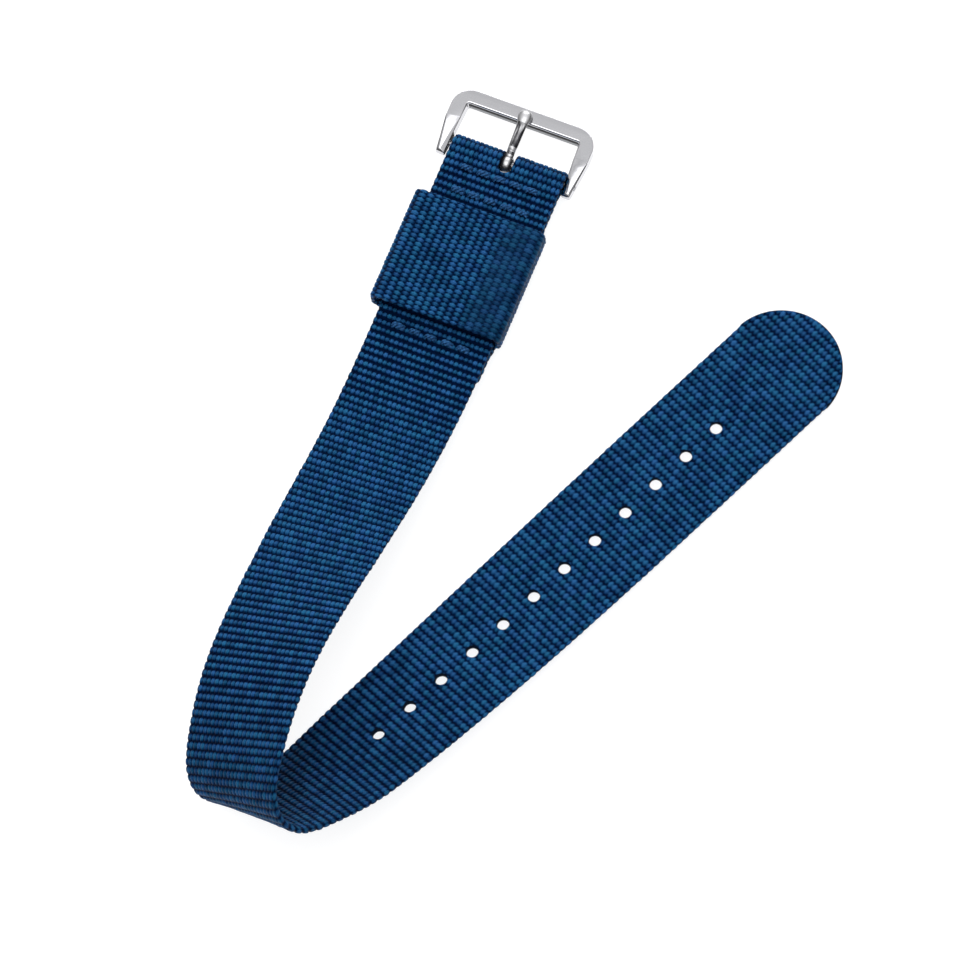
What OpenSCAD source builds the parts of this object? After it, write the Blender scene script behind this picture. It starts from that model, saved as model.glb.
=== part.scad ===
// Nylon slip-through watch strap, laid in a loose fold on a table.
// One length of webbing runs from the round, punched tip, through a loose fold,
// to the buckle bar. There it turns round the bar and its tail is sewn underneath.
// X points along the strap towards the buckle, Y to its left edge, Z up from the table.
// All lengths are in millimetres. Along the strap, "bar distance" counts from the buckle bar.

/* [Webbing] */
// Width of the webbing
band_w = 20; // [18:0.5:22]
// Thickness of the webbing
band_t = 1.2; // [1:0.1:1.4]
// Length from the buckle bar to the tip
band_len = 251.5; // [246:0.5:270]
// Depth of the rounded selvedge at each side
selvedge = 0.5; // [0.3:0.05:0.6]

/* [Punched holes] */
// Number of holes
hole_count = 12; // [8:1:14]
// Diameter of a hole
hole_d = 2; // [1.6:0.1:2.4]
// Distance from the tip to the first hole
hole_first = 24.7; // [20:0.1:30]
// Distance from hole to hole
hole_pitch = 6.8; // [6:0.1:7.5]

/* [Sewn end] */
// Length of the tail past the third row of stitches
tail_end = 3.7; // [3:0.1:6]
// Gap between the two layers where they are sewn
sewn_gap = 0.1; // [0.08:0.01:0.2]
// Width of the slot for the prong
slot_w = 2.2; // [2.1:0.1:2.6]
// How far the slot runs behind the bar
slot_back = 2.2; // [2.1:0.1:2.4]

/* [Stitching] */
// Bar distance of the first row, beside the slot
row_bar = 3.7; // [3.6:0.1:4.5]
// Distance from the second row to the keeper
row_above = 2.55; // [2.3:0.05:2.8]
// Distance from the keeper to the third row
row_below = 2.7; // [2.4:0.1:3.4]
// Number of stitches in a row
stitch_count = 5; // [4:1:6]
// Distance from stitch to stitch
stitch_pitch = 2.85; // [2.6:0.05:3]
// Length of the thread seen on top
stitch_len = 1.85; // [1.5:0.05:2.1]
// Diameter of the thread
thread_d = 0.4; // [0.3:0.05:0.5]

/* [Keeper] */
// Length of the keeper along the strap
keeper_len = 20.2; // [18:0.1:20.6]
// Thickness of the keeper's webbing
keeper_t = 1.1; // [0.9:0.1:1.3]
// Bar distance of the keeper's near edge
keeper_at = 10.4; // [10.2:0.1:10.8]
// Room above the band for the strap's end
keeper_room = 1.5; // [1.3:0.1:2]
// Clearance to the band at each side
keeper_side = 0.4; // [0.3:0.05:0.6]
// How far the loop has slipped towards the left edge
keeper_slip = 0.35; // [0:0.05:0.35]
// Clearance above and below the keeper's lower run
keeper_gap = 0.15; // [0.12:0.01:0.2]
// Inner radius of the keeper's folds
keeper_fold_r = 0.5; // [0.3:0.1:0.7]

/* [Spring bar] */
// Diameter of the tube
bar_d = 1.5; // [1.3:0.1:1.8]
// Wall of the tube
bar_wall = 0.2; // [0.15:0.05:0.25]
// Gap from each end of the tube to the ear
bar_end_gap = 0.7; // [0.5:0.1:0.8]
// Length of the rolled-in collar at each end
collar_len = 0.6; // [0.5:0.1:0.8]
// Diameter of the tips
tip_d = 0.8; // [0.6:0.05:0.85]
// How deep a tip enters its ear
tip_reach = 1; // [0.8:0.1:1.2]
// Length of the piston behind each tip
piston_len = 4.5; // [4:0.1:5]
// Coils of the spring
coil_count = 12; // [9:1:13]
// Wire diameter of the spring
wire_d = 0.2; // [0.16:0.02:0.24]
// Radial running clearance of the tube, tips and prong
run_gap = 0.06; // [0.05:0.01:0.08]

/* [Buckle] */
// Clearance between each ear and the webbing
ear_gap = 0.3; // [0.2:0.05:0.5]
// Narrowing of the window at each side, from the bar to the crossbar
window_taper = 0.45; // [0.2:0.05:0.6]
// Distance from the bar to the window's far edge
window_x = 7.45; // [7:0.05:9]
// Width of the crossbar
cross_w = 2.4; // [2:0.1:2.8]
// Width of each ear
ear_w = 1.7; // [1.5:0.1:1.9]
// Spread of the outer sides from the ears to the middle of the legs
leg_spread = 0.5; // [0.3:0.05:0.6]
// Thickness of the frame
frame_t = 2.4; // [2.2:0.1:2.6]
// Radius of the outer corners
corner_r = 4; // [3:0.1:5]
// Radius of the ear around the bar
ear_r = 1.7; // [1.5:0.05:1.9]
// Drop of the leg's top face from corner to ear
leg_slope = 0.3; // [0.1:0.05:0.4]
// Bevel along the frame's upper edges
bevel = 0.2; // [0.15:0.05:0.4]
// Width of the facet along each leg's outer edge at the ear
leg_facet = 0.7; // [0.4:0.1:0.9]

/* [Prong] */
// Outer radius of the knuckle round the bar
knuckle_r = 1.5; // [1.4:0.05:1.6]
// Width of the knuckle
knuckle_w = 1.8; // [1.4:0.1:1.8]
// Width of the neck beside the knuckle
neck_w = 1.1; // [0.9:0.1:1.3]
// Length of the neck
neck_len = 1; // [0.7:0.1:1.3]
// Width of the shank before the tip
shank_w = 1.6; // [1.4:0.1:1.8]
// Width of the rounded tip
tip_w = 2.3; // [2.1:0.1:2.6]
// Length of the rounded tip
tip_len = 2.7; // [2.4:0.1:3]
// Distance from the tip's end to the crossbar's outer edge
tip_back = 0.5; // [0.2:0.1:0.8]
// Thickness of the shank
shank_t = 0.95; // [0.8:0.05:1.1]
// Thickness of the tip
tip_t = 1.3; // [1.2:0.05:1.5]
// Gap between the prong and the crossbar
rest_gap = 0.05; // [0.03:0.01:0.1]

/* [Hidden] */
round_fn = 48;
cut_over = 1;

// How the strap lies, from its sewn end to its tip. Each bend has its bar distance, its
// length along the strap, and three angles in degrees: how far it turns the strap
// downwards, how far it twists it, and how far it swings it sideways.
rise_at = 48;
rise_len = 56;
sway_at = 78;
crest_at = 104;
crest_len = 48;
fold_at = 124;
fold_len = 24;
heel_at = 140;
run_at = 148;
run_len = 164;
lie_bends = [
    [rise_at, rise_len, -18.3, -9.7, 1.2],
    [sway_at, crest_len, 3, -12.8, 0],
    [crest_at, crest_len, 31.3, -6.5, 0],
    [fold_at, fold_len, 124.5, -17.4, 0],
    [heel_at, fold_len, 12.3, -7.8, 0],
    [run_at, run_len, 11.1, -39.2, 0],
];
step = 0.5;
tight_bend = [108, 146];
ring_gap = 3;
tight_ring_gap = 1;

// Radius of the webbing's middle round the bar, and height of that middle over the bar.
loop_r = bar_d / 2 + run_gap + band_t / 2;
loop_ring_angle = 15;
bar_gap = 2 * loop_r - band_t;
keeper_layer = keeper_t + 2 * keeper_gap;
sewn_start = 3.3;
keeper_ramp = 1.9;
keeper_end = keeper_at + keeper_len;
row_upper = keeper_at - row_above;
row_lower = keeper_end + row_below;
tail_len = row_lower + tail_end;

// Share of a bend per millimetre at distance s: a raised cosine of unit area.
function bend_share(s, centre, len) =
    abs(s - centre) < len / 2 ? (1 + cos(360 * (s - centre) / len)) / len : 0;
function rate(s, column) =
    [for (b = lie_bends) bend_share(s, b[0], b[1])] * [for (b = lie_bends) b[column]];
function unit(v) = v / norm(v);

// A frame is [middle, along, left, down]; advance moves it one step along the strap.
function turned(f, a) = [f[1] * cos(a) + f[3] * sin(a), f[3] * cos(a) - f[1] * sin(a)];
function advance(f, s) =
    let (new = turned(f, rate(s, 2) * step))
    let (twist = rate(s, 3) * step)
    let (left = f[2] * cos(twist) - new[1] * sin(twist))
    let (down = new[1] * cos(twist) + f[2] * sin(twist))
    let (swing = rate(s, 4) * step)
    [
        f[0] + unit(f[1] + new[0]) * step,
        new[0] * cos(swing) + left * sin(swing),
        left * cos(swing) - new[0] * sin(swing),
        down
    ];
path_start = [[0, 0, loop_r], [-1, 0, 0], [0, 1, 0], [0, 0, -1]];
path_steps = ceil(band_len / step);
path = [for (i = 0, f = path_start; i <= path_steps; i = i + 1, f = advance(f, (i - 0.5) * step)) f];

// The frame at any distance, between the two nearest steps.
function frame_at(s) =
    let (i = min(floor(s / step), path_steps - 1))
    let (k = s / step - i)
    [for (j = [0:3]) path[i][j] * (1 - k) + path[i + 1][j] * k];

// Cross-section of the webbing: flat faces with rounded selvedges, as [left, out].
function selvedge_arc(side) = [
    for (a = [-90:45:90])
        [side * (band_w / 2 - selvedge + selvedge * cos(a)), side * band_t / 2 * sin(a)]
];
webbing_section = concat(selvedge_arc(1), selvedge_arc(-1));
section_n = len(webbing_section);

// A ring of points round the section at a middle point, with its left and out directions.
function ring(middle, left, out) = [for (p = webbing_section) middle + left * p[0] + out * p[1]];

// Gap between band and tail: open round the bar, closed at the sewn rows, open at the keeper.
function ease(a, b, k) = let (c = max(0, min(1, k))) a + (b - a) * c * c * (3 - 2 * c);
function layer_gap(s) =
    s < sewn_start ? ease(bar_gap, sewn_gap, s / sewn_start)
    : s < keeper_at + keeper_len / 2
        ? ease(sewn_gap, keeper_layer, (s - keeper_at + keeper_ramp) / keeper_ramp)
        : ease(keeper_layer, sewn_gap, (s - keeper_end) / keeper_ramp);
function gap_slope(s) = (layer_gap(s + 0.05) - layer_gap(max(s - 0.05, 0))) / 0.1;

function tail_ring(s) =
    let (f = frame_at(s))
    let (out = unit(f[3] - f[1] * gap_slope(s)))
    ring(f[0] + f[3] * (band_t + layer_gap(s)), f[2], out);
function loop_ring(a) =
    let (out = [sin(a), 0, cos(a)])
    ring(out * loop_r, path_start[2], out);
function band_ring(s) =
    let (f = frame_at(s))
    ring(f[0], f[2], -f[3]);

tail_steps = ceil(tail_len);
tail_rings = [for (i = [tail_steps:-1:1]) tail_ring(tail_len * i / tail_steps)];
loop_rings = [for (a = [180:-loop_ring_angle:0]) loop_ring(a)];
band_stations = [
    for (
        s = ring_gap;
        s < band_len - tight_ring_gap;
        s = s + (s >= tight_bend[0] && s < tight_bend[1] ? tight_ring_gap : ring_gap)
    ) s
];
band_rings = [for (s = concat(band_stations, band_len)) band_ring(s)];
webbing_rings = concat(tail_rings, loop_rings, band_rings);

// Faces of a tube of rings, as triangles, with a fan at each end.
function ring_faces(rings, sides) = concat(
    [for (i = [0:rings - 2]) for (j = [0:sides - 1])
        [i * sides + j, i * sides + (j + 1) % sides, (i + 1) * sides + j]],
    [for (i = [0:rings - 2]) for (j = [0:sides - 1])
        [i * sides + (j + 1) % sides, (i + 1) * sides + (j + 1) % sides, (i + 1) * sides + j]],
    [for (j = [1:sides - 2]) [0, j + 1, j]],
    [for (j = [1:sides - 2]) (rings - 1) * sides * [1, 1, 1] + [0, j, j + 1]]
);
function flat(rings) = [for (r = rings) for (p = r) p];

// The box round everything puts the origin at its bottom centre.
tip_middle = frame_at(band_len - band_w / 2)[0];
corner_points = flat(webbing_rings);
cross_out = window_x + cross_w;
prong_end = cross_out - tip_back;
window_w = band_w + 2 * ear_gap;
ear_out = window_w / 2 + ear_w;
half_frame = ear_out + leg_spread;
low_x = min([for (p = corner_points) p[0]]);
low_y = tip_middle[1] - band_w / 2;
low_z = min([for (p = corner_points) p[2]]);
shift = [-(low_x + cross_out) / 2, -(low_y + half_frame) / 2, -low_z];
module placed() {
    translate(shift) children();
}

// Puts children on the band's middle at a distance, X towards the buckle and Z up.
module on_band(s) {
    f = frame_at(s);
    back = -unit(f[1]);
    left = unit(f[2]);
    up = -unit(f[3]);
    multmatrix([
        [back[0], left[0], up[0], f[0][0]],
        [back[1], left[1], up[1], f[0][1]],
        [back[2], left[2], up[2], f[0][2]],
    ]) children();
}

module strap_band() {
    color([0.08, 0.22, 0.36]) placed() difference() {
        polyhedron(flat(webbing_rings), ring_faces(len(webbing_rings), section_n), convexity = 8);
        for (i = [0:hole_count - 1]) hole_cut(band_len - hole_first - i * hole_pitch);
        tip_cut();
        slot_cut();
    }
}

module hole_cut(s) {
    on_band(s) cylinder(d = hole_d, h = 3 * band_t, center = true, $fn = round_fn);
}

// Rounds the tip to half a circle of the webbing's width.
module tip_cut() {
    on_band(band_len - band_w / 2) difference() {
        translate([-band_w, -band_w, -2 * band_t]) cube([band_w, 2 * band_w, 4 * band_t]);
        translate([0, 0, -3 * band_t]) cylinder(d = band_w, h = 6 * band_t, $fn = 2 * round_fn);
    }
}

// Opens both layers and the loop's front for the prong.
module slot_cut() {
    depth = 4 * loop_r;
    translate([slot_w / 2 - slot_back, 0, -depth / 2]) {
        cylinder(d = slot_w, h = depth, $fn = round_fn);
        translate([0, -slot_w / 2, 0]) cube([slot_back + 2 * loop_r, slot_w, depth]);
    }
}

// The keeper is a closed loop round the band; its lower run lies between band and tail.
module keeper_loop() {
    inner_w = band_w + 2 * keeper_side;
    inner_h = band_t + keeper_gap + keeper_room;
    color([0.08, 0.22, 0.36]) placed()
        translate([-keeper_at, keeper_slip, loop_r - band_t / 2 - keeper_gap]) rotate([0, -90, 0])
            linear_extrude(keeper_len) difference() {
                translate([-keeper_t, 0])
                    round_slab(inner_w + 2 * keeper_t, inner_h + 2 * keeper_t, keeper_fold_r + keeper_t);
                round_slab(inner_w, inner_h, keeper_fold_r);
            }
}

// A rounded rectangle standing on the Y axis, centred on the X axis.
module round_slab(w, h, r) {
    translate([r, -w / 2]) square([h - 2 * r, w]);
    translate([0, r - w / 2]) square([h, w - 2 * r]);
    for (x = [r, h - r], y = [r - w / 2, w / 2 - r]) translate([x, y]) circle(r, $fn = round_fn);
}

// One row: every stitch is a loop of thread round both layers.
module stitch_row(s) {
    low = -band_t - layer_gap(s) - band_t / 2;
    color([0.1, 0.27, 0.43]) placed() on_band(s)
        for (i = [0:stitch_count - 1]) translate([0, (i - (stitch_count - 1) / 2) * stitch_pitch, 0]) {
            for (z = [band_t / 2, low]) translate([0, -stitch_len / 2, z])
                rotate([-90, 0, 0]) cylinder(d = thread_d, h = stitch_len, $fn = 16);
            for (y = [-stitch_len / 2, stitch_len / 2]) {
                translate([0, y, low]) cylinder(d = thread_d, h = band_t / 2 - low, $fn = 16);
                for (z = [band_t / 2, low]) translate([0, y, z]) sphere(d = thread_d, $fn = 16);
            }
        }
}

module stitch_row_bar() {
    stitch_row(row_bar);
}

module stitch_row_upper() {
    stitch_row(row_upper);
}

module stitch_row_lower() {
    stitch_row(row_lower);
}

// Plan of the frame: crossbar with round corners, legs that narrow towards the ears,
// and a window that is a little narrower at the crossbar than at the ears.
module frame_plan() {
    inner = window_w / 2;
    far = inner - window_taper;
    mid = window_x / 2;
    difference() {
        intersection() {
            union() {
                translate([-ear_r, -half_frame]) square([cross_out - corner_r + ear_r, 2 * half_frame]);
                translate([0, corner_r - half_frame]) square([cross_out, 2 * (half_frame - corner_r)]);
                for (y = [-1, 1]) translate([cross_out - corner_r, y * (half_frame - corner_r)])
                    circle(corner_r, $fn = 2 * round_fn);
            }
            polygon([
                [-ear_r, -ear_out], [mid, -half_frame], [cross_out, -half_frame],
                [cross_out, half_frame], [mid, half_frame], [-ear_r, ear_out],
            ]);
        }
        polygon([
            [-2 * ear_r, -inner], [0, -inner], [window_x, -far],
            [window_x, far], [0, inner], [-2 * ear_r, inner],
        ]);
    }
}

// Side view of the frame: bevelled crossbar, legs whose top slopes to round ears.
module frame_side() {
    top = frame_t / 2;
    slope_end = window_x - corner_r / 2;
    polygon([
        [0, -top],
        [cross_out - bevel, -top],
        [cross_out, bevel - top],
        [cross_out, top - bevel],
        [cross_out - bevel, top],
        [slope_end, top],
        [0, top - leg_slope],
    ]);
    intersection() {
        circle(ear_r, $fn = 2 * round_fn);
        translate([-ear_r, -top]) square([ear_r, 2 * top - leg_slope]);
    }
}

module buckle_frame() {
    color([0.78, 0.78, 0.8]) placed() difference() {
        intersection() {
            translate([0, 0, -frame_t]) linear_extrude(2 * frame_t) frame_plan();
            translate([0, half_frame, 0]) rotate([90, 0, 0]) linear_extrude(2 * half_frame) frame_side();
        }
        along_bar(-half_frame - cut_over, 2 * (half_frame + cut_over))
            circle(d = tip_d + 2 * run_gap, $fn = round_fn);
        for (side = [0, 1]) mirror([0, side, 0]) leg_facet_cut();
    }
}

// Slants the outer edge of a leg, from nothing at its corner to full width at its ear.
module leg_facet_cut() {
    start_x = window_x - 1;
    edge_turn = atan2(half_frame - ear_out, start_x + ear_r);
    facet_turn = atan2(leg_facet, start_x + ear_r);
    translate([start_x, half_frame, frame_t / 2]) rotate([0, 0, edge_turn + facet_turn])
        rotate([35, 0, 0]) translate([-3 * start_x, 0, -frame_t])
            cube([3 * start_x, 2 * frame_t, 3 * frame_t]);
}

// Extrudes a flat shape along the bar's axis, from a place on Y over a length.
module along_bar(y, len) {
    translate([0, y, 0]) rotate([-90, 0, 0]) linear_extrude(len) children();
}

// Plan of the prong: knuckle, narrow neck, widening shank and round tip.
neck_x = knuckle_r + 0.3;
bulb_x = prong_end - tip_len;
module prong_plan() {
    round_x = prong_end - tip_w / 2;
    translate([round_x, 0]) circle(d = tip_w, $fn = round_fn);
    for (side = [0, 1]) mirror([0, side, 0]) polygon([
        [0, 0], [0, knuckle_w / 2], [knuckle_r * 0.8, knuckle_w / 2],
        [neck_x, neck_w / 2], [neck_x + neck_len, neck_w / 2],
        [neck_x + 1.6 * neck_len, 0.85 * shank_w / 2], [bulb_x, shank_w / 2],
        [bulb_x + tip_len / 6, 0.9 * tip_w / 2], [round_x, tip_w / 2], [round_x, 0],
    ]);
}

// Side view of the prong: it leaves the knuckle, bends up and rests over the crossbar.
module prong_side() {
    seat = frame_t / 2 + rest_gap;
    low = 0.4 * knuckle_r;
    bend_x = neck_x + neck_len;
    polygon([
        [0, bar_d / 2 + run_gap], [knuckle_r, low], [bend_x, low + 0.1 * shank_t],
        [bulb_x, seat], [prong_end, seat], [prong_end, seat + 0.45 * tip_t],
        [prong_end - 0.15 * tip_w, seat + 0.85 * tip_t], [prong_end - 0.5 * tip_w, seat + tip_t],
        [bulb_x + tip_len / 6, seat + 0.97 * tip_t], [bulb_x, seat + shank_t],
        [bend_x, low + 1.4 * shank_t], [neck_x, low + shank_t], [0, knuckle_r],
    ]);
}

module prong() {
    color([0.75, 0.75, 0.77]) placed() difference() {
        union() {
            along_bar(-knuckle_w / 2, knuckle_w) circle(knuckle_r, $fn = round_fn);
            intersection() {
                linear_extrude(2 * frame_t) prong_plan();
                translate([0, tip_w, 0]) rotate([90, 0, 0]) linear_extrude(2 * tip_w) prong_side();
            }
        }
        along_bar(-knuckle_w / 2 - cut_over, knuckle_w + 2 * cut_over)
            circle(bar_d / 2 + run_gap, $fn = round_fn);
    }
}

// The spring bar: a tube with rolled-in collars, two sprung tips and the coil between them.
tube_half = window_w / 2 - bar_end_gap;
bore_r = bar_d / 2 - bar_wall;
piston_end = tube_half - collar_len - 0.05;
coil_half = piston_end - piston_len - 0.02;
coil_r = bore_r - wire_d / 2 - run_gap;

module bar_tube() {
    color([0.7, 0.7, 0.72]) placed() difference() {
        along_bar(-tube_half, 2 * tube_half) circle(d = bar_d, $fn = round_fn);
        along_bar(-tube_half - cut_over, 2 * (tube_half + cut_over))
            circle(d = tip_d + 2 * run_gap, $fn = round_fn);
        along_bar(collar_len - tube_half, 2 * (tube_half - collar_len)) circle(bore_r, $fn = round_fn);
    }
}

module bar_tip(side) {
    reach = window_w / 2 + tip_reach;
    color([0.8, 0.8, 0.82]) placed() mirror([0, side < 0 ? 1 : 0, 0]) {
        along_bar(piston_end - piston_len, piston_len) circle(bore_r - run_gap, $fn = round_fn);
        along_bar(piston_end, reach - piston_end) circle(d = tip_d, $fn = round_fn);
    }
}

module bar_tip_left() {
    bar_tip(1);
}

module bar_tip_right() {
    bar_tip(-1);
}

coil_rings = 8;
wire_sides = 6;
function coil_middle(a) = [coil_r * cos(a), coil_half * (2 * a / (360 * coil_count) - 1), coil_r * sin(a)];
function coil_ring(a) =
    let (out = [cos(a), 0, sin(a)])
    [for (k = [0:wire_sides - 1])
        coil_middle(a) + wire_d / 2 * (out * cos(k * 360 / wire_sides) + [0, sin(k * 360 / wire_sides), 0])];

module bar_spring() {
    rings = [for (i = [0:coil_count * coil_rings]) coil_ring(i * 360 / coil_rings)];
    color([0.6, 0.6, 0.62]) placed() intersection() {
        polyhedron(flat(rings), ring_faces(len(rings), wire_sides), convexity = 20);
        along_bar(-coil_half, 2 * coil_half) circle(d = bar_d);
    }
}

strap_band();
keeper_loop();
stitch_row_bar();
stitch_row_upper();
stitch_row_lower();
buckle_frame();
prong();
bar_tube();
bar_spring();
bar_tip_left();
bar_tip_right();
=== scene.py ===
import bmesh
import bpy
import math
import numpy as np
from functools import partial
from mathutils import Matrix, Vector


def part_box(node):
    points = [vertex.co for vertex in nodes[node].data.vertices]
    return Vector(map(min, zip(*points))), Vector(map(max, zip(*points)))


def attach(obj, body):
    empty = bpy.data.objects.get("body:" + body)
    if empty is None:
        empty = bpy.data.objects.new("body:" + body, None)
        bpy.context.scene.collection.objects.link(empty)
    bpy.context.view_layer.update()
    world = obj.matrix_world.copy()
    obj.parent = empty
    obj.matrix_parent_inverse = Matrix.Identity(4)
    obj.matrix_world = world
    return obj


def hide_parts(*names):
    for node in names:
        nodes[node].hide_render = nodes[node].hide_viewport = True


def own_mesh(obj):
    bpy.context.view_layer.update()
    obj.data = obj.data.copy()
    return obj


# Nylon slip-through watch strap in a loose fold on a table.
# Sizes below are in millimetres; meshes are made in metres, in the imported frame.
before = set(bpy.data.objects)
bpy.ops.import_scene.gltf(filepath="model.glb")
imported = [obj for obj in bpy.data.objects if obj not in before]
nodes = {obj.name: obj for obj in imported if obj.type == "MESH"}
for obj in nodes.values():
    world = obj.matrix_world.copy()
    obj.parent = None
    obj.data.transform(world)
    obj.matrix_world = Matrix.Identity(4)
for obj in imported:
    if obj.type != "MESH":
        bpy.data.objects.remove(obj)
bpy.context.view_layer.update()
mm = 0.001
low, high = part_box("bar_tube")
barAxis = np.array((low + high) / 2) / mm  # middle of the spring bar
print("frame loaded,", len(nodes), "solids")


def hexColour(code):
    channels = [int(code[i:i + 2], 16) / 255 for i in (1, 3, 5)]
    linear = [c / 12.92 if c <= 0.04045 else ((c + 0.055) / 1.055) ** 2.4 for c in channels]
    return (*linear, 1)


def newMaterial(name, **settings):
    material = bpy.data.materials.new(name)
    material.use_nodes = True
    shader = material.node_tree.nodes["Principled BSDF"]
    for socket, value in settings.items():
        shader.inputs[socket.replace("_", " ")].default_value = value
    return material, material.node_tree, shader


# Adds a node: kind may name its operation too. Inputs are values, sockets, or nodes whose first
# output is meant, and stops are a colour ramp's places and colours.
def node(tree, kind, inputs=(), stops=(), **settings):
    kind, *operation = kind.split()
    made = tree.nodes.new("ShaderNode" + kind)
    if operation:
        made.operation = operation[0]
    for name, value in settings.items():
        setattr(made, name, value)
    for i, (position, code) in enumerate(stops):
        stop = made.color_ramp.elements[i] if i < 2 else made.color_ramp.elements.new(position)
        stop.position, stop.color = position, hexColour(code)
    for key, value in inputs.items() if isinstance(inputs, dict) else enumerate(inputs):
        value = value.outputs[0] if isinstance(value, bpy.types.Node) else value
        if isinstance(value, bpy.types.NodeSocket):
            tree.links.new(value, made.inputs[key])
        else:
            made.inputs[key].default_value = value
    return made


def connect(tree, shader, **sources):
    for socket, source in sources.items():
        tree.links.new(source.outputs[0], shader.inputs[socket.replace("_", " ")])


def finishPiece(piece, body, solid):
    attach(piece, body)
    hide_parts(solid)


def addObject(name, data):
    made = bpy.data.objects.new(name, data)
    bpy.context.scene.collection.objects.link(made)
    return made


def makeActive(piece):
    bpy.ops.object.select_all(action="DESELECT")
    piece.select_set(True)
    bpy.context.view_layer.objects.active = piece


def editMode(on):
    bpy.ops.object.mode_set(mode="EDIT" if on else "OBJECT")


def pointOutwards():
    bpy.ops.mesh.select_all(action="SELECT")
    bpy.ops.mesh.normals_make_consistent(inside=False)


# Materials
# Solution-dyed nylon webbing, plain woven: every yarn shows as an oval knuckle with a pit beside it, the
# knuckle tops painted lighter and the pits darker as painted highlight and painted shade, and the filaments in
# it draw fine lines along the strap.
weaveLook = {
    "knuckle": "#2A6496", "flank": "#0E3A66", "pit": "#001030", "flankAt": 0.5,
    "tealer": "#DFFFF4", "redder": "#FFEEFF",  # how far the dye strays from yarn to yarn
    "slant": 0.15,  # as in the mesh
    # The depths below set both the bump and how dark the painted shade in each gap is.
    "sharp": 3.0, "creaseDepth": 0.3, "pitDepth": 1.4, "pitFade": 6.0,  # the gap beside a knuckle
    "edgeDepth": 0.95, "drawnDepth": 1.3, "edgeSharp": 2.5,  # the gap between two ribs
    "rubbedLevel": 0.85, "rubbedFill": 0.6, "rubbedDark": 0.52, "rubbedFuzz": 0.9,
    "uneven": 1.3, "drawnUneven": 0.7, "yarnUneven": 0.35,  # how much the pits' sizes differ
    "yarnVariation": 0.26,  # brightness from knuckle to knuckle
    "filamentsPerYarn": 3, "filamentShade": 0.24, "filamentLevel": 0.94, "filamentHeight": 0.12,
    "fuzz": 3.1, "fuzzStretch": (1.2, 2.4, 1.0), "fuzzShade": 1.5,
    "relief": 0.0001, "reliefStrength": 0.45,
    "roughness": 0.5, "specular": 0.13, "glint": "#4C8CD4",
}


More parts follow.
